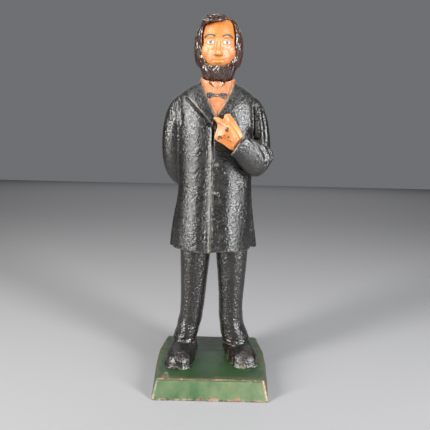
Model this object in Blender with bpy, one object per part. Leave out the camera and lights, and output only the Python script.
"""Painted cast-iron mechanical bank: a standing bearded figure in a long coat on a green plinth.

The figure is cast in a front half and a back half that meet on one upright plane. The left forearm and the
head are castings of their own. Pressing the lever behind the coat swings the forearm and nods the head.
Sizes are in millimetres and are brought to metres where a shape is made. X runs across the figure, Y from
front to back and is measured from the parting plane, and Z runs up from the underside of the plinth.
"""

import math

import bmesh
import bpy
from mathutils import Matrix, Vector

MM = 0.001
GAP = 0.3
RUNNING = 0.15
PARTING_Y = 7.75
WALL = 3.0
MERGE = 0.000003

# The plinth: half-widths at its front, middle and back, and where those three stand.
BASE_HEIGHT = 12.0
BASE_FRONT_Y = -40.5
BASE_BACK_Y = 25.0
BASE_FRONT_HALF = 35.6
BASE_MIDDLE_HALF = 39.0
BASE_BACK_HALF = 36.0
BASE_SLOPE = 2.6

# The figure.
SHOE_LENGTH = 37.0
SHOE_HALF_WIDTH = 9.6
CUFF_Z = 21.0
HEM_Z = 86.0
SHOULDER_Z = 193.0
COLLAR_Z = 201.0
CHEST_DEPTH = 19.0
BACK_DEPTH = 18.5
HIP_HALF = 28.5
WAIST_HALF = 25.8
SHOULDER_HALF = 28.0
SKIRT_OVERHANG = 2.6
HEAD_HALF = 17.4
HEAD_DEPTH_HALF = 18.6
HEAD_TOP_Z = 249.4
HEAD_TILT = math.radians(12.0)
NECK_RADIUS = 8.4
NECK_CLEARANCE = 1.3

# The hollow that holds the coins, and the ways in and out of it.
VAULT_FLOOR_Z = 91.0
VAULT_TOP_Z = 186.0
COIN_WAY_X = -7.0
SLOT_LENGTH = 27.0
SLOT_HEIGHT = 4.6
SLOT_Z = 178.0
DOOR_WIDTH = 26.0
DOOR_BOTTOM_Z = 96.4
DOOR_TOP_Z = 112.3
DOOR_SWING_GAP = 1.1
DOOR_HINGE_Z = 114.5
DOOR_HINGE_Y = 21.8
BARREL_RADIUS = 1.6
HINGE_PIN_RADIUS = 0.8

# The movement.
LEVER_X = 13.5
LEVER_THICK = 1.6
LEVER_PIVOT_Y = -9.5
LEVER_Z = 126.0
LEVER_TAIL_Y = 36.0
LEVER_PIN_RADIUS = 1.0
ARM_LINK_Y = 10.5
HEAD_LINK_Y = -5.8
SPRING_Y = 4.0
SPRING_TOP_Z = 146.0
SPRING_RADIUS = 2.3
SPRING_WIRE = 0.4
SPRING_TURNS = 8
LINK_WIRE = 0.7
ELBOW_X = 30.0
ELBOW_Z = 146.0
SHAFT_RADIUS = 2.0
BEARING_FACE_Y = -12.0
CRANK_LENGTH = 10.3
CRANK_Y = -1.0
CRANK_THICK = 1.6
WASHER_RADIUS = 5.0
WASHER_THICK = 0.6
FOREARM_BACK_Y = -13.2
NOD_Z = 195.0
NOD_ANGLE = math.radians(8.0)
NOD_PIN_RADIUS = 1.5
NOD_PIN_HALF = 15.0
TAIL_X = 4.0
TAIL_Y = -6.5
TAIL_DROP = 8.0
BAFFLE_X = 8.0
BAFFLE_THICK = 1.0
SCREW_RADIUS = 1.6
SCREW_HEAD_RADIUS = 3.0
SHOULDER_SCREW_X = 18.5
SHOULDER_SCREW_Z = 189.5
SMALL_SCREW_RADIUS = 1.1

PAINTS = {
    "black_paint": ((0.018, 0.017, 0.016, 1.0), 0.35, 0.2),
    "green_paint": ((0.045, 0.13, 0.045, 1.0), 0.4, 0.2),
    "skin_paint": ((0.78, 0.38, 0.12, 1.0), 0.35, 0.0),
    "hair_paint": ((0.035, 0.02, 0.016, 1.0), 0.3, 0.0),
    "bare_steel": ((0.42, 0.41, 0.39, 1.0), 0.4, 1.0),
    "brass": ((0.6, 0.42, 0.16, 1.0), 0.35, 1.0),
}

for old in list(bpy.data.objects):
    bpy.data.objects.remove(old, do_unlink=True)

parts = bpy.data.collections.new("standing_figure_bank")
cutters = bpy.data.collections.new("cutters")
bpy.context.scene.collection.children.link(parts)
bpy.context.scene.collection.children.link(cutters)


def place(x, y, z):
    """A point in metres, from millimetres with Y measured from the parting plane."""
    return Vector((x, PARTING_Y + y, z)) * MM


def paint(name):
    material = bpy.data.materials.get(name) or bpy.data.materials.new(name)
    colour, roughness, metallic = PAINTS[name]
    material.use_nodes = True
    shader = material.node_tree.nodes["Principled BSDF"]
    shader.inputs["Base Color"].default_value = colour
    shader.inputs["Roughness"].default_value = roughness
    shader.inputs["Metallic"].default_value = metallic
    material.diffuse_color = colour
    return material


def hide(tool):
    """A cutter or a form that only lends its shape."""
    tool.hide_render = True
    tool.display_type = "WIRE"
    return tool


def from_bmesh(name, shape):
    bmesh.ops.recalc_face_normals(shape, faces=shape.faces)
    data = bpy.data.meshes.new(name)
    shape.to_mesh(data)
    shape.free()
    tool = bpy.data.objects.new(name, data)
    cutters.objects.link(tool)
    return hide(tool)


def loft(name, rings):
    """A closed skin over rings of equally many points."""
    shape = bmesh.new()
    loops = [[shape.verts.new(point) for point in ring] for ring in rings]
    for lower, upper in zip(loops, loops[1:]):
        for here in range(len(lower)):
            there = (here + 1) % len(lower)
            shape.faces.new((lower[here], lower[there], upper[there], upper[here]))
    shape.faces.new(loops[0])
    shape.faces.new(loops[-1])
    return from_bmesh(name, shape)


def box(name, low, high):
    low_corner = place(*low)
    high_corner = place(*high)
    size = high_corner - low_corner
    middle = (low_corner + high_corner) / 2
    shape = bmesh.new()
    matrix = Matrix.Translation(middle) @ Matrix.Diagonal((*size, 1.0))
    bmesh.ops.create_cube(shape, size=1.0, matrix=matrix)
    return from_bmesh(name, shape)


def rod(name, start, end, radius, segments=20, end_radius=None):
    """A cylinder or cone between two points."""
    start_point = place(*start)
    end_point = place(*end)
    along = end_point - start_point
    turn = along.to_track_quat("Z", "Y").to_matrix().to_4x4()
    matrix = Matrix.Translation((start_point + end_point) / 2) @ turn
    shape = bmesh.new()
    bmesh.ops.create_cone(
        shape,
        cap_ends=True,
        segments=segments,
        radius1=radius * MM,
        radius2=(radius if end_radius is None else end_radius) * MM,
        depth=along.length,
        matrix=matrix,
    )
    return from_bmesh(name, shape)


def ball(name, centre, radii, tilt=0.0, segments=24, rings=14):
    """An ellipsoid, tilted forward about X."""
    size = Matrix.Diagonal((radii[0] * MM, radii[1] * MM, radii[2] * MM, 1.0))
    matrix = Matrix.Translation(place(*centre)) @ Matrix.Rotation(tilt, 4, "X") @ size
    shape = bmesh.new()
    bmesh.ops.create_uvsphere(shape, u_segments=segments, v_segments=rings, radius=1.0, matrix=matrix)
    return from_bmesh(name, shape)


def wire(name, points, radii, resolution=2):
    """A bent wire or a round limb: a curve with a bevel, made a mesh so that it can be joined or cut."""
    curve = bpy.data.curves.new(name, "CURVE")
    curve.dimensions = "3D"
    curve.bevel_depth = 1.0
    curve.bevel_resolution = resolution
    curve.use_fill_caps = True
    spline = curve.splines.new("POLY")
    spline.points.add(len(points) - 1)
    for number, point in enumerate(points):
        spline.points[number].co = (*place(*point), 1.0)
        radius = radii[number] if isinstance(radii, (list, tuple)) else radii
        spline.points[number].radius = radius * MM
    guide = bpy.data.objects.new(name + "_curve", curve)
    cutters.objects.link(guide)
    depsgraph = bpy.context.evaluated_depsgraph_get()
    data = bpy.data.meshes.new_from_object(guide.evaluated_get(depsgraph))
    shape = bmesh.new()
    shape.from_mesh(data)
    bmesh.ops.remove_doubles(shape, verts=shape.verts, dist=0.00001)
    bpy.data.objects.remove(guide, do_unlink=True)
    return from_bmesh(name, shape)


def boolean(body, operation, *tools, solver="EXACT"):
    """Joins the tools to the body, or cuts them from it, one after another."""
    for tool in tools:
        modifier = body.modifiers.new(tool.name, "BOOLEAN")
        modifier.operation = operation
        modifier.solver = solver
        modifier.object = tool
        depsgraph = bpy.context.evaluated_depsgraph_get()
        data = bpy.data.meshes.new_from_object(body.evaluated_get(depsgraph))
        shape = bmesh.new()
        shape.from_mesh(data)
        bmesh.ops.remove_doubles(shape, verts=shape.verts, dist=MERGE)
        bmesh.ops.dissolve_degenerate(shape, edges=shape.edges, dist=MERGE)
        shape.to_mesh(data)
        shape.free()
        body.modifiers.clear()
        body.data = data
    return body


def cast(body, operation, *tools):
    """The same on the two castings, whose many crossing skins need the solver for closed forms."""
    return boolean(body, operation, *tools, solver="MANIFOLD")


def copy_of(tool, name):
    twin = bpy.data.objects.new(name, tool.data.copy())
    cutters.objects.link(twin)
    return hide(twin)


def finish(body, name, paint_name, origin=None, smooth=True):
    """Makes a form a piece of the bank, with its origin on its joint's axis if it has one."""
    cutters.objects.unlink(body)
    parts.objects.link(body)
    body.name = name
    body.data.name = name
    body.hide_render = False
    body.display_type = "TEXTURED"
    body.data.materials.clear()
    body.data.materials.append(paint(paint_name))
    if origin is not None:
        body.data.transform(Matrix.Translation(-origin))
        body.location = origin
    if smooth:
        body.data.shade_smooth()
        body.data.set_sharp_from_angle(angle=math.radians(35.0))
    return body


def oval(z, left, right, front, back, squareness=2.4, count=32, y=0.0):
    """A level ring round the parting plane, whose front and back may bulge unlike each other."""
    middle = (left + right) / 2
    half = (right - left) / 2
    points = []
    for number in range(count):
        angle = 2 * math.pi * number / count
        across = math.cos(angle)
        along = math.sin(angle)
        x = middle + half * math.copysign(abs(across) ** (2 / squareness), across)
        reach = back if along > 0 else front
        points.append(place(x, y + reach * math.copysign(abs(along) ** (2 / squareness), along), z))
    return points


# The coat from hem to collar, as a skin at any depth inside its own surface. The back half's skirt is wider.

def coat_form(name, skirt, inside=0.0, low=HEM_Z, high=COLLAR_Z):
    left_skirt = HIP_HALF + skirt
    right_skirt = HIP_HALF - 2.8 + 1.8 * skirt
    stations = [
        (HEM_Z, left_skirt, right_skirt, CHEST_DEPTH + 4.0, BACK_DEPTH + 3.5),
        (105.0, left_skirt - 0.6 - 0.4 * skirt, right_skirt - 0.8 * skirt, CHEST_DEPTH + 2.0, BACK_DEPTH + 2.0),
        (122.0, WAIST_HALF, WAIST_HALF, CHEST_DEPTH - 0.5, BACK_DEPTH - 0.5),
        (140.0, WAIST_HALF, WAIST_HALF, CHEST_DEPTH - 0.5, BACK_DEPTH - 0.5),
        (158.0, WAIST_HALF + 1.2, WAIST_HALF + 1.2, CHEST_DEPTH, BACK_DEPTH),
        (175.0, SHOULDER_HALF, SHOULDER_HALF, CHEST_DEPTH - 0.6, BACK_DEPTH),
        (185.0, SHOULDER_HALF + 0.4, SHOULDER_HALF, CHEST_DEPTH - 3.0, BACK_DEPTH - 1.6),
        (SHOULDER_Z, SHOULDER_HALF - 1.0, SHOULDER_HALF - 1.0, CHEST_DEPTH - 6.4, BACK_DEPTH - 4.5),
        (197.5, 20.5, 20.5, CHEST_DEPTH - 7.4, BACK_DEPTH - 6.5),
        (199.5, 14.0, 14.0, CHEST_DEPTH - 8.0, BACK_DEPTH - 7.2),
        (COLLAR_Z, 11.8, 11.8, CHEST_DEPTH - 8.4, BACK_DEPTH - 7.6),
    ]

    def station_at(z):
        for lower, upper in zip(stations, stations[1:]):
            if lower[0] <= z <= upper[0]:
                share = (z - lower[0]) / (upper[0] - lower[0])
                return [a + share * (b - a) for a, b in zip(lower, upper)]
        return list(stations[-1])

    levels = [low] + [row[0] for row in stations if low < row[0] < high] + [high]
    rings = []
    for z in levels:
        _, left, right, front, back = station_at(z)
        rings.append(oval(z, inside - left, right - inside, front - inside, back - inside))
    return loft(name, rings)


# The plinth: six-sided in plan, its sides sloping out to the foot.

def base_form(name):
    def outline(z, out):
        corners = [
            (-BASE_FRONT_HALF + out, BASE_FRONT_Y + out),
            (BASE_FRONT_HALF - out, BASE_FRONT_Y + out),
            (BASE_MIDDLE_HALF - out, 0.0),
            (BASE_BACK_HALF - out, BASE_BACK_Y - out),
            (-BASE_BACK_HALF + out, BASE_BACK_Y - out),
            (-BASE_MIDDLE_HALF + out, 0.0),
        ]
        return [place(x, y, z) for x, y in corners]

    return loft(name, [outline(0.0, 0.0), outline(1.0, 0.0), outline(BASE_HEIGHT, BASE_SLOPE)])


# A leg: level rings from inside the coat down to the cuff, which flares over the shoe.

def leg_form(name, side):
    inner = {-1: (-2.0, -5.0, -6.4, -10.4), 1: (1.6, 4.3, 4.6, 7.2)}[side]
    outer = {-1: (-23.3, -22.4, -22.3, -27.0), 1: (23.9, 21.5, 20.8, 26.4)}[side]
    rows = [
        (HEM_Z + 8.0, 0, 11.0, 11.0),
        (81.0, 0, 11.0, 11.0),
        (52.0, 1, 9.6, 9.6),
        (36.0, 2, 9.4, 9.4),
        (CUFF_Z, 3, 12.0, 10.8),
    ]
    rings = []
    for z, row, front, back in rows:
        left, right = sorted((inner[row], outer[row]))
        rings.append(oval(z, left, right, front, back, squareness=2.2, count=20))
    rings.append(oval(BASE_HEIGHT + 1.0, left + 2.0, right - 2.0, 9.0, 9.0, squareness=2.2, count=20))
    return loft(name, rings)


# A shoe: arched sections from toe to heel on a flat sole, turned out about its heel.

def shoe_form(name, heel_x, heel_y, turn):
    stations = [
        (0.0, 0.45, 4.0),
        (0.06, 0.72, 6.5),
        (0.2, 0.98, 9.0),
        (0.4, 1.0, 11.0),
        (0.6, 0.88, 16.0),
        (0.85, 0.8, 17.0),
        (1.0, 0.6, 15.0),
    ]
    arc = 10
    rings = []
    for share, width, height in stations:
        ahead = SHOE_LENGTH * (1.0 - share)
        ring = []
        for number in range(arc + 1):
            angle = math.pi * number / arc
            across = SHOE_HALF_WIDTH * width * math.cos(angle)
            up = BASE_HEIGHT - 0.6 + height * math.sin(angle) ** 0.75
            x = heel_x + ahead * math.sin(turn) + across * math.cos(turn)
            y = heel_y - ahead * math.cos(turn) + across * math.sin(turn)
            ring.append(place(x, y, up))
        rings.append(ring)
    return loft(name, rings)


def figure_form(name, skirt):
    """The whole pattern of one half before the plane is cut: plinth, shoes, legs, coat and sleeves."""
    coat = coat_form(name, skirt)
    right_sleeve = wire(
        name + "_right_sleeve",
        [(-22, 0, 188), (-26.5, 0.5, 180), (-29.2, 2, 165), (-29.6, 5, 150), (-28, 10, 140),
         (-22, 15, 132), (-12, 17.5, 131), (-6, 18.3, 131.5)],
        [8.0, 9.2, 9.3, 9.2, 9.0, 8.2, 6.8, 6.2],
        resolution=3,
    )
    right_hand = ball(name + "_right_hand", (0.0, 19.5, 132.0), (7.5, 4.4, 6.2), segments=16, rings=10)
    left_sleeve = wire(
        name + "_left_sleeve",
        [(21.5, 0, 188), (25.5, -0.5, 180), (28.3, -2, 165), (ELBOW_X, -3.5, 152), (ELBOW_X, -4, ELBOW_Z),
         (ELBOW_X, -4, ELBOW_Z - 7.4)],
        [8.0, 9.0, 9.0, 8.6, 8.3, 6.4],
        resolution=3,
    )
    bearing_cut = box(name + "_bearing_cut", (12, -60, 128), (60, BEARING_FACE_Y, 160))
    boolean(left_sleeve, "DIFFERENCE", bearing_cut)
    shoes = [
        shoe_form(name + "_right_shoe", -17.0, 9.8, math.radians(-8.0)),
        shoe_form(name + "_left_shoe", 14.6, 12.2, math.radians(15.5)),
    ]
    legs = [leg_form(name + "_right_leg", -1), leg_form(name + "_left_leg", 1)]
    base = base_form(name + "_base")
    return cast(coat, "UNION", right_sleeve, right_hand, left_sleeve, *legs, *shoes, base)


# The space inside: the coin vault, the room in the left sleeve for the crank, and the hole for the neck.

core = coat_form("vault_core", 0.0, WALL, VAULT_FLOOR_Z, VAULT_TOP_Z)
crank_room = box("crank_room", (12, -7.0, ELBOW_Z - 4.6), (ELBOW_X + 5.0, 3.6, ELBOW_Z + 8))
crank_way = box("crank_way", (12, -7.0, ELBOW_Z - 9.0), (ELBOW_X - 4.2, 3.6, ELBOW_Z))
neck_hole = loft(
    "neck_hole",
    [
        oval(VAULT_TOP_Z - 2.0, -11.5, 11.5, 11.8, 10.0, squareness=3.0, count=24),
        oval(NOD_Z - 3.0, -10.2, 10.2, 10.8, 9.8, squareness=3.0, count=24),
        oval(
            COLLAR_Z + 1.0,
            -NECK_RADIUS - NECK_CLEARANCE,
            NECK_RADIUS + NECK_CLEARANCE,
            NECK_RADIUS + NECK_CLEARANCE,
            NECK_RADIUS + NECK_CLEARANCE,
            squareness=2.0,
            count=24,
        ),
    ],
)
hollows = [core, crank_room, crank_way, neck_hole]


def beard_form(name, nod=0.0, room=0.0):
    """The beard at rest or nodded, with room round it."""
    beard = ball(
        name,
        (0.4, -5.4, 215.6),
        (14.2 + room, 12.6 + room, 15.4 + room),
        HEAD_TILT,
        segments=20,
        rings=12,
    )
    pivot = place(0.0, 0.0, NOD_Z)
    turn = Matrix.Rotation(nod, 4, "X")
    beard.data.transform(Matrix.Translation(pivot) @ turn @ Matrix.Translation(-pivot))
    return beard


beard_room = [beard_form("beard_room", nod, 0.8) for nod in (0.0, NOD_ANGLE)]
nod_groove = rod(
    "nod_groove",
    (-NOD_PIN_HALF - GAP, 0, NOD_Z),
    (NOD_PIN_HALF + GAP, 0, NOD_Z),
    NOD_PIN_RADIUS + GAP,
)


def y_hole(name, x, z, start, end, radius, segments=20):
    return rod(name, (x, start, z), (x, end, z), radius, segments)


# Front casting.

front = figure_form("front_form", 0.0)
cast(front, "DIFFERENCE", *hollows, *beard_room)
ear_inner_x = LEVER_X - LEVER_THICK / 2 - GAP
ear_outer_x = LEVER_X + LEVER_THICK / 2 + GAP
EAR_THICK = 1.8
for ear_name, ear_low, ear_high in (
    ("near_ear", ear_inner_x - EAR_THICK, ear_inner_x),
    ("far_ear", ear_outer_x, ear_outer_x + EAR_THICK),
):
    ear = box(ear_name, (ear_low, -15.5, LEVER_Z - 4), (ear_high, LEVER_PIVOT_Y + 2.0, LEVER_Z + 4))
    cast(front, "UNION", ear)
lever_pin_hole = rod(
    "lever_pin_hole",
    (ear_inner_x - EAR_THICK - 1, LEVER_PIVOT_Y, LEVER_Z),
    (ear_outer_x + EAR_THICK + 1, LEVER_PIVOT_Y, LEVER_Z),
    LEVER_PIN_RADIUS + RUNNING,
)
front_plane = box("front_plane", (-80, -GAP / 2, -10), (80, 80, 260))
shaft_hole = y_hole("shaft_hole", ELBOW_X, ELBOW_Z, BEARING_FACE_Y - 2, 0, SHAFT_RADIUS + RUNNING)
SCREW_DEPTH = 7.0
shoulder_holes = [
    y_hole("shoulder_hole", side * SHOULDER_SCREW_X, SHOULDER_SCREW_Z, -SCREW_DEPTH, 30, SCREW_RADIUS + GAP)
    for side in (-1, 1)
]
base_hole = y_hole("base_hole", 0.0, BASE_HEIGHT / 2, -SCREW_DEPTH, 30, SCREW_RADIUS + GAP)
cast(front, "DIFFERENCE", front_plane, nod_groove, lever_pin_hole, shaft_hole, *shoulder_holes, base_hole)
finish(front, "front_casting", "black_paint")

# Back casting, with the coin slot, the door opening, the lever's slot and the hinge lugs.

back = figure_form("back_form", SKIRT_OVERHANG)
cast(back, "DIFFERENCE", *hollows)
door_left = COIN_WAY_X - DOOR_WIDTH / 2
door_right = COIN_WAY_X + DOOR_WIDTH / 2
door_block = box("door_block", (door_left, 6, DOOR_BOTTOM_Z), (door_right, 30, DOOR_TOP_Z))
door = copy_of(back, "door_form")
cast(door, "INTERSECT", door_block)
opening = box(
    "door_opening",
    (door_left - GAP, 6, DOOR_BOTTOM_Z - DOOR_SWING_GAP),
    (door_right + GAP, 32, DOOR_TOP_Z + 2 * GAP),
)
cast(back, "DIFFERENCE", opening)
LUG_WIDTH = 4.0
lug_middles = (door_left + 4.0, door_right - 4.0)
for lug_middle in lug_middles:
    lug_low = lug_middle - LUG_WIDTH / 2
    lug_high = lug_middle + LUG_WIDTH / 2
    lug = rod("lug", (lug_low, DOOR_HINGE_Y, DOOR_HINGE_Z), (lug_high, DOOR_HINGE_Y, DOOR_HINGE_Z), BARREL_RADIUS)
    web = box("lug_web", (lug_low, 15.0, DOOR_HINGE_Z - 1.2), (lug_high, DOOR_HINGE_Y, DOOR_HINGE_Z + 1.2))
    cast(back, "UNION", lug, web)
BAFFLE_SCREW_X = 12.0
BAFFLE_SCREW_LEVELS = (160.0, 174.0)
BOSS_FACE_Y = 12.9
for level in BAFFLE_SCREW_LEVELS:
    cast(back, "UNION", y_hole("baffle_boss", BAFFLE_SCREW_X, level, BOSS_FACE_Y, 16.0, 2.8))
back_plane = box("back_plane", (-80, -90, -10), (80, GAP / 2, 260))
coin_slot = box(
    "coin_slot",
    (COIN_WAY_X - SLOT_LENGTH / 2, 9, SLOT_Z - SLOT_HEIGHT / 2),
    (COIN_WAY_X + SLOT_LENGTH / 2, 30, SLOT_Z + SLOT_HEIGHT / 2),
)
LEVER_SLOT_HALF = 2.2
lever_slot = box("lever_slot", (LEVER_X - LEVER_SLOT_HALF, 9, 114.5), (LEVER_X + LEVER_SLOT_HALF, 30, 129.5))
hinge_hole = rod(
    "hinge_hole",
    (door_left - 4, DOOR_HINGE_Y, DOOR_HINGE_Z),
    (door_right + 4, DOOR_HINGE_Y, DOOR_HINGE_Z),
    HINGE_PIN_RADIUS + RUNNING,
)
POST_Z = SPRING_TOP_Z + 3.0
POST_RADIUS = 1.0
post_hole = y_hole("post_hole", LEVER_X, POST_Z, 8, 30, POST_RADIUS + GAP)
STOP_RIVET_Z = 93.4
RIVET_RADIUS = 0.9
stop_hole = y_hole("stop_hole", COIN_WAY_X, STOP_RIVET_Z, 8, 30, RIVET_RADIUS + GAP)
SCREW_SEAT_Y = 11.0
BASE_SEAT_Y = 20.0
seats = [
    y_hole("shoulder_seat", side * SHOULDER_SCREW_X, SHOULDER_SCREW_Z, SCREW_SEAT_Y, 30, SCREW_HEAD_RADIUS + GAP)
    for side in (-1, 1)
]
seats.append(y_hole("base_seat", 0.0, BASE_HEIGHT / 2, BASE_SEAT_Y, 30, SCREW_HEAD_RADIUS + GAP))
small_holes = [
    y_hole("baffle_screw_hole", BAFFLE_SCREW_X, level, BOSS_FACE_Y - 3, 16.2, SMALL_SCREW_RADIUS + GAP)
    for level in BAFFLE_SCREW_LEVELS
]
cast(
    back, "DIFFERENCE", back_plane, nod_groove, coin_slot, lever_slot, hinge_hole, post_hole, stop_hole,
    *shoulder_holes, base_hole, *seats, *small_holes,
)
finish(back, "back_casting", "black_paint")

# Coin door: the piece of the coat's back that fills the opening, with its knuckle and knob.

knuckle_low = lug_middles[0] + LUG_WIDTH / 2 + GAP
knuckle_high = lug_middles[1] - LUG_WIDTH / 2 - GAP
knuckle = rod(
    "knuckle",
    (knuckle_low, DOOR_HINGE_Y, DOOR_HINGE_Z),
    (knuckle_high, DOOR_HINGE_Y, DOOR_HINGE_Z),
    BARREL_RADIUS,
)
strap = box(
    "door_strap",
    (knuckle_low, DOOR_HINGE_Y - BARREL_RADIUS + 0.1, DOOR_TOP_Z - 4.0),
    (knuckle_high, DOOR_HINGE_Y + 0.6, DOOR_HINGE_Z),
)
strap_root = box(
    "strap_root", (knuckle_low, 18.5, DOOR_TOP_Z - 4.0), (knuckle_high, DOOR_HINGE_Y, DOOR_TOP_Z - 0.3)
)
cast(door, "UNION", knuckle, strap, strap_root)
KNOB_Z = 101.5
knob_hole = y_hole("knob_hole", COIN_WAY_X, KNOB_Z, 10, 30, RIVET_RADIUS + GAP)
cast(door, "DIFFERENCE", hinge_hole, knob_hole)
door_origin = place(COIN_WAY_X, DOOR_HINGE_Y, DOOR_HINGE_Z)
finish(door, "coin_door", "black_paint", door_origin)

knob = y_hole("knob_shank", COIN_WAY_X, KNOB_Z, 16.2, 24.0, RIVET_RADIUS)
knob_head = y_hole("knob_head", COIN_WAY_X, KNOB_Z, 22.2, 25.2, 2.6)
knob_clinch = y_hole("knob_clinch", COIN_WAY_X, KNOB_Z, 15.6, 16.6, 1.8)
boolean(knob, "UNION", knob_head, knob_clinch)
finish(knob, "coin_door_knob", "brass", door_origin)

hinge_pin = rod(
    "hinge_pin",
    (door_left + 1.0, DOOR_HINGE_Y, DOOR_HINGE_Z),
    (door_right - 1.0, DOOR_HINGE_Y, DOOR_HINGE_Z),
    HINGE_PIN_RADIUS,
)
finish(hinge_pin, "coin_door_pin", "bare_steel")

stop = box("stop_leaf", (COIN_WAY_X - 3, 16.2, VAULT_FLOOR_Z + 0.5), (COIN_WAY_X + 3, 17.0, KNOB_Z - 2.4))
boolean(stop, "DIFFERENCE", stop_hole)
finish(stop, "door_stop", "bare_steel", smooth=False)
stop_rivet = y_hole("stop_shank", COIN_WAY_X, STOP_RIVET_Z, 15.4, 22.6, RIVET_RADIUS)
boolean(
    stop_rivet,
    "UNION",
    y_hole("stop_rivet_head", COIN_WAY_X, STOP_RIVET_Z, 22.2, 23.2, 1.9),
    y_hole("stop_rivet_tail", COIN_WAY_X, STOP_RIVET_Z, 15.0, 15.9, 1.7),
)
finish(stop_rivet, "door_stop_rivet", "bare_steel")

# Screws that hold the halves together.


def screw(name, x, z, seat_y, tip_y, radius, head_radius, head_height):
    """A screw driven towards the front, with a slotted head."""
    shank = y_hole(name, x, z, tip_y, seat_y + GAP + 0.2, radius)
    head = y_hole(name + "_head", x, z, seat_y + GAP, seat_y + GAP + head_height, head_radius)
    slot_top = seat_y + GAP + head_height
    slot = box(
        name + "_driver_slot",
        (x - head_radius - 1, slot_top - 0.45 * head_height, z - 0.35),
        (x + head_radius + 1, slot_top + 1, z + 0.35),
    )
    boolean(shank, "UNION", head)
    return boolean(shank, "DIFFERENCE", slot)


for side, side_name in ((-1, "right"), (1, "left")):
    shoulder_screw = screw(
        "shoulder_screw_form", side * SHOULDER_SCREW_X, SHOULDER_SCREW_Z, SCREW_SEAT_Y, 0.5 - SCREW_DEPTH,
        SCREW_RADIUS, SCREW_HEAD_RADIUS, 2.0,
    )
    finish(shoulder_screw, "shoulder_screw_" + side_name, "bare_steel")
base_screw = screw(
    "base_screw_form", 0.0, BASE_HEIGHT / 2, BASE_SEAT_Y, 0.5 - SCREW_DEPTH,
    SCREW_RADIUS, SCREW_HEAD_RADIUS, 2.0,
)
finish(base_screw, "base_screw", "bare_steel")

# Coin baffle: a plate along the chute that keeps coins off the links, with a flange screwed to two bosses.

BAFFLE_BOTTOM_Z = 131.0
BAFFLE_TOP_Z = 179.0
baffle = box(
    "baffle_plate", (BAFFLE_X, -10.5, BAFFLE_BOTTOM_Z), (BAFFLE_X + BAFFLE_THICK, BOSS_FACE_Y - GAP, BAFFLE_TOP_Z)
)
flange = box(
    "baffle_flange",
    (BAFFLE_X, BOSS_FACE_Y - GAP - BAFFLE_THICK, BAFFLE_SCREW_LEVELS[0] - 4),
    (BAFFLE_SCREW_X + 3.4, BOSS_FACE_Y - GAP, BAFFLE_SCREW_LEVELS[1] + 4),
)
boolean(baffle, "UNION", flange)
boolean(baffle, "DIFFERENCE", *small_holes)
finish(baffle, "coin_baffle", "bare_steel", smooth=False)


for level, level_name in zip(BAFFLE_SCREW_LEVELS, ("lower", "upper")):
    head_end = BOSS_FACE_Y - 2 * GAP - BAFFLE_THICK
    baffle_screw = y_hole("baffle_screw_form", BAFFLE_SCREW_X, level, head_end - 1, 15.9, SMALL_SCREW_RADIUS)
    boolean(
        baffle_screw, "UNION",
        y_hole("baffle_screw_head", BAFFLE_SCREW_X, level, head_end - 1.2, head_end, 2.1),
    )
    finish(baffle_screw, "baffle_screw_" + level_name, "bare_steel")

# Thumb lever: a bar on a pin near the front wall, out through the back to a thumb pad.

lever_origin = place(LEVER_X, LEVER_PIVOT_Y, LEVER_Z)
lever_low = LEVER_X - LEVER_THICK / 2
lever_high = LEVER_X + LEVER_THICK / 2
lever = box("lever_bar", (lever_low, LEVER_PIVOT_Y + 1.7, LEVER_Z - 2.2), (lever_high, LEVER_TAIL_Y - 3, LEVER_Z + 2.2))
lever_eye = rod("lever_eye", (lever_low, LEVER_PIVOT_Y, LEVER_Z), (lever_high, LEVER_PIVOT_Y, LEVER_Z), 3.0)
pad = box(
    "lever_pad", (LEVER_X - 4.0, LEVER_TAIL_Y - 9.0, LEVER_Z + 0.8), (LEVER_X + 4.0, LEVER_TAIL_Y, LEVER_Z + 2.6)
)
pad_lip = rod("pad_lip", (LEVER_X - 4.0, LEVER_TAIL_Y, LEVER_Z + 2.2), (LEVER_X + 4.0, LEVER_TAIL_Y, LEVER_Z + 2.2), 1.4)
boolean(lever, "UNION", lever_eye, pad, pad_lip)
LINK_EYE_RADIUS = LINK_WIRE + 0.35
for eye_name, eye_y, eye_radius in (
    ("pin_eye", LEVER_PIVOT_Y, LEVER_PIN_RADIUS + RUNNING),
    ("arm_link_eye", ARM_LINK_Y, LINK_EYE_RADIUS),
    ("head_link_eye", HEAD_LINK_Y, LINK_EYE_RADIUS),
    ("spring_eye", SPRING_Y, SPRING_WIRE + 0.5),
):
    eye = rod(eye_name, (lever_low - 1, eye_y, LEVER_Z), (lever_high + 1, eye_y, LEVER_Z), eye_radius)
    boolean(lever, "DIFFERENCE", eye)
finish(lever, "thumb_lever", "bare_steel", lever_origin)

lever_pin = rod(
    "lever_pin_form",
    (ear_inner_x - EAR_THICK - 0.4, LEVER_PIVOT_Y, LEVER_Z),
    (ear_outer_x + EAR_THICK + 0.4, LEVER_PIVOT_Y, LEVER_Z),
    LEVER_PIN_RADIUS,
)
finish(lever_pin, "lever_pin", "bare_steel")

# Return spring between the lever and a post riveted through the back.

post = y_hole("post_form", LEVER_X, POST_Z, 1.6, 18.6, POST_RADIUS)
boolean(
    post,
    "UNION",
    y_hole("post_head", LEVER_X, POST_Z, 18.2, 19.4, 2.0),
    y_hole("post_tip", LEVER_X, POST_Z, 1.2, 2.2, 1.6),
)
finish(post, "spring_post", "bare_steel")

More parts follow.
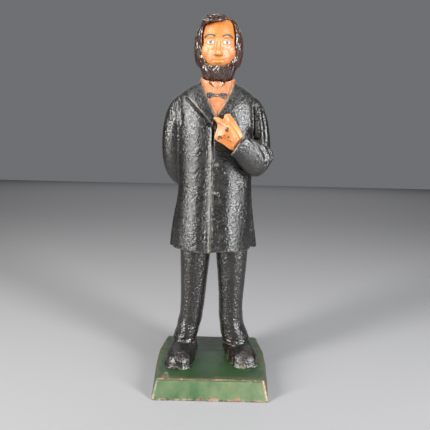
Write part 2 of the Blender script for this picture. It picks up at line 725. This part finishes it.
coil_low = LEVER_Z + 4.6
points_per_turn = 10
coil_points = [
    (LEVER_X - 1.6, SPRING_Y, LEVER_Z),
    (LEVER_X + 1.6, SPRING_Y, LEVER_Z),
    (LEVER_X + 1.9, SPRING_Y, LEVER_Z + 3.2),
]
for number in range(SPRING_TURNS * points_per_turn + 1):
    angle = 2 * math.pi * number / points_per_turn
    rise = (SPRING_TOP_Z - 2.0 - coil_low) * number / (SPRING_TURNS * points_per_turn)
    coil_points.append(
        (LEVER_X + SPRING_RADIUS * math.cos(angle), SPRING_Y + SPRING_RADIUS * math.sin(angle), coil_low + rise)
    )
hook_radius = POST_RADIUS + SPRING_WIRE + 0.3
for degrees in range(0, 200, 30):
    angle = math.radians(degrees)
    coil_points.append(
        (LEVER_X + hook_radius * math.cos(angle), SPRING_Y, POST_Z + hook_radius * math.sin(angle))
    )
spring = wire("spring_form", coil_points, SPRING_WIRE, resolution=1)
finish(spring, "return_spring", "bare_steel", lever_origin)

# Links: bent wires from the lever up to the crank and to the head's tail.

arm_link_origin = place(LEVER_X, ARM_LINK_Y, LEVER_Z)
crank_tip_x = ELBOW_X - CRANK_LENGTH
arm_link = wire(
    "arm_link_form",
    [
        (LEVER_X - 1.9, ARM_LINK_Y, LEVER_Z),
        (LEVER_X + 1.9, ARM_LINK_Y, LEVER_Z),
        (LEVER_X + 2.6, ARM_LINK_Y - 0.4, LEVER_Z + 1.6),
        (crank_tip_x, 5.2, ELBOW_Z - 6),
        (crank_tip_x, 4.2, ELBOW_Z - 0.8),
        (crank_tip_x, 3.4, ELBOW_Z),
        (crank_tip_x, CRANK_Y - 2.6, ELBOW_Z),
    ],
    LINK_WIRE,
)
finish(arm_link, "arm_link", "bare_steel", arm_link_origin)

head_link_origin = place(LEVER_X, HEAD_LINK_Y, LEVER_Z)
tail_z = NOD_Z - TAIL_DROP
head_link = wire(
    "head_link_form",
    [
        (LEVER_X + 1.5, HEAD_LINK_Y, LEVER_Z),
        (LEVER_X - 1.5, HEAD_LINK_Y, LEVER_Z),
        (LEVER_X - 2.1, HEAD_LINK_Y, LEVER_Z + 3.6),
        (LEVER_X - 1.6, HEAD_LINK_Y - 0.3, LEVER_Z + 8),
        (LEVER_X - 1.6, TAIL_Y, BAFFLE_TOP_Z + 1.5),
        (TAIL_X + 3.2, TAIL_Y, tail_z - 1.4),
        (TAIL_X + 2.2, TAIL_Y, tail_z),
        (TAIL_X - 2.2, TAIL_Y, tail_z),
    ],
    LINK_WIRE,
)
finish(head_link, "head_link", "bare_steel", head_link_origin)

# Forearm, hand, shaft, washer, crank and nut, which turn together at the elbow.

elbow_origin = place(ELBOW_X, FOREARM_BACK_Y, ELBOW_Z)


def limb_ring(centre, along, half_height, half_depth, squareness=2.3, count=16):
    """A ring across a limb that runs across the chest."""
    side = Vector((-along[2], 0.0, along[0])).normalized()
    points = []
    for number in range(count):
        angle = 2 * math.pi * number / count
        up = half_height * math.copysign(abs(math.cos(angle)) ** (2 / squareness), math.cos(angle))
        deep = half_depth * math.copysign(abs(math.sin(angle)) ** (2 / squareness), math.sin(angle))
        points.append(place(*centre) + (side * up + Vector((0.0, deep, 0.0))) * MM)
    return points


sleeve_way = (-0.83, 0.0, 0.55)
forearm = loft(
    "forearm_form",
    [
        limb_ring((34.8, -18.2, 143.0), sleeve_way, 5.2, 2.6),
        limb_ring((33.4, -18.2, 143.7), sleeve_way, 8.8, 4.2),
        limb_ring((29.8, -18.4, 145.6), sleeve_way, 11.8, 5.1),
        limb_ring((25.0, -20.6, 148.6), sleeve_way, 11.2, 4.9),
        limb_ring((18.4, -23.2, 153.4), sleeve_way, 8.8, 4.6),
        limb_ring((13.6, -24.8, 156.6), sleeve_way, 7.8, 4.4),
    ],
)
hand_outline = [
    (-2.2, 173.2), (0.6, 168.2), (-1.0, 160.8), (4.6, 157.0), (11.6, 152.9), (17.5, 161.2), (7.4, 176.8), (4.5, 172.0),
]
HAND_FRONT_Y = -29.0
HAND_BACK_Y = -20.9
hand = loft(
    "hand_form",
    [
        [place(7.0 + 0.86 * (x - 7.0), HAND_FRONT_Y, 165.0 + 0.86 * (z - 165.0)) for x, z in hand_outline],
        [place(x, HAND_FRONT_Y + 2.2, z) for x, z in hand_outline],
        [place(x, HAND_BACK_Y, z) for x, z in hand_outline],
    ],
)
boolean(forearm, "UNION", hand)
bearing_pad = y_hole("bearing_pad", ELBOW_X, ELBOW_Z, -18.0, FOREARM_BACK_Y, WASHER_RADIUS + 1.0)
boolean(forearm, "UNION", bearing_pad)
SHAFT_END_Y = -20.4
shaft_socket = y_hole("shaft_socket", ELBOW_X, ELBOW_Z, SHAFT_END_Y - GAP, 0, SHAFT_RADIUS + GAP)
boolean(forearm, "DIFFERENCE", shaft_socket)
finish(forearm, "forearm", "black_paint", elbow_origin)

shaft = y_hole("shaft_form", ELBOW_X, ELBOW_Z, SHAFT_END_Y, 2.9, SHAFT_RADIUS)
finish(shaft, "arm_shaft", "bare_steel", elbow_origin)
washer_back_y = BEARING_FACE_Y - GAP
washer = y_hole("washer_form", ELBOW_X, ELBOW_Z, washer_back_y - WASHER_THICK, washer_back_y, WASHER_RADIUS)
washer_hole = y_hole("washer_hole", ELBOW_X, ELBOW_Z, -20, 0, SHAFT_RADIUS + GAP)
boolean(washer, "DIFFERENCE", washer_hole)
finish(washer, "arm_washer", "bare_steel", elbow_origin)

crank_low_y = CRANK_Y - CRANK_THICK / 2
crank_high_y = CRANK_Y + CRANK_THICK / 2
crank = y_hole("crank_hub", ELBOW_X, ELBOW_Z, crank_low_y, crank_high_y, 4.0)
crank_bar = box("crank_bar", (crank_tip_x, crank_low_y, ELBOW_Z - 2.2), (ELBOW_X, crank_high_y, ELBOW_Z + 2.2))
crank_end = y_hole("crank_end", crank_tip_x, ELBOW_Z, crank_low_y, crank_high_y, 3.4)
boolean(crank, "UNION", crank_bar, crank_end)
crank_bore = y_hole("crank_bore", ELBOW_X, ELBOW_Z, -5, 5, SHAFT_RADIUS + GAP)
crank_slot = box(
    "crank_slot",
    (crank_tip_x - LINK_WIRE - 1.6, -5, ELBOW_Z - LINK_WIRE - 0.6),
    (crank_tip_x + LINK_WIRE + 0.7, 5, ELBOW_Z + LINK_WIRE + 0.6),
)
boolean(crank, "DIFFERENCE", crank_bore, crank_slot)
finish(crank, "arm_crank", "bare_steel", elbow_origin)

nut = y_hole("nut_form", ELBOW_X, ELBOW_Z, crank_high_y + GAP, crank_high_y + GAP + 2.0, 3.6, segments=6)
boolean(nut, "DIFFERENCE", washer_hole, y_hole("nut_bore", ELBOW_X, ELBOW_Z, -5, 8, SHAFT_RADIUS + GAP))
finish(nut, "arm_shaft_nut", "bare_steel", elbow_origin)

# Head with its neck and tail, and the pin that it nods on.

nod_origin = place(0.0, 0.0, NOD_Z)
SKULL_HALF_HEIGHT = 20.0
head = ball(
    "head_form",
    (0.4, 0.2, HEAD_TOP_Z - SKULL_HALF_HEIGHT),
    (HEAD_HALF, HEAD_DEPTH_HALF, SKULL_HALF_HEIGHT),
    HEAD_TILT,
)
beard = beard_form("beard_form")
neck = rod("neck_form", (0, 1.0, NOD_Z - 5), (0, 1.0, 216), NECK_RADIUS - 1.2, end_radius=NECK_RADIUS)
tail = box("tail_form", (TAIL_X - 0.8, TAIL_Y - 3.7, tail_z - 2.4), (TAIL_X + 0.8, 2.0, tail_z + 5.0))
boolean(head, "UNION", beard, neck, tail)
tail_slot = box(
    "tail_slot",
    (TAIL_X - 2, TAIL_Y - LINK_WIRE - 1.8, tail_z - LINK_WIRE - 0.5),
    (TAIL_X + 2, TAIL_Y + LINK_WIRE + 0.6, tail_z + LINK_WIRE + 0.5),
)
nod_bore = rod("nod_bore", (-20, 0, NOD_Z), (20, 0, NOD_Z), NOD_PIN_RADIUS + GAP)
boolean(head, "DIFFERENCE", nod_bore, tail_slot)
finish(head, "head", "hair_paint", nod_origin)

nod_pin = rod("nod_pin_form", (-NOD_PIN_HALF, 0, NOD_Z), (NOD_PIN_HALF, 0, NOD_Z), NOD_PIN_RADIUS)
finish(nod_pin, "head_pin", "bare_steel")
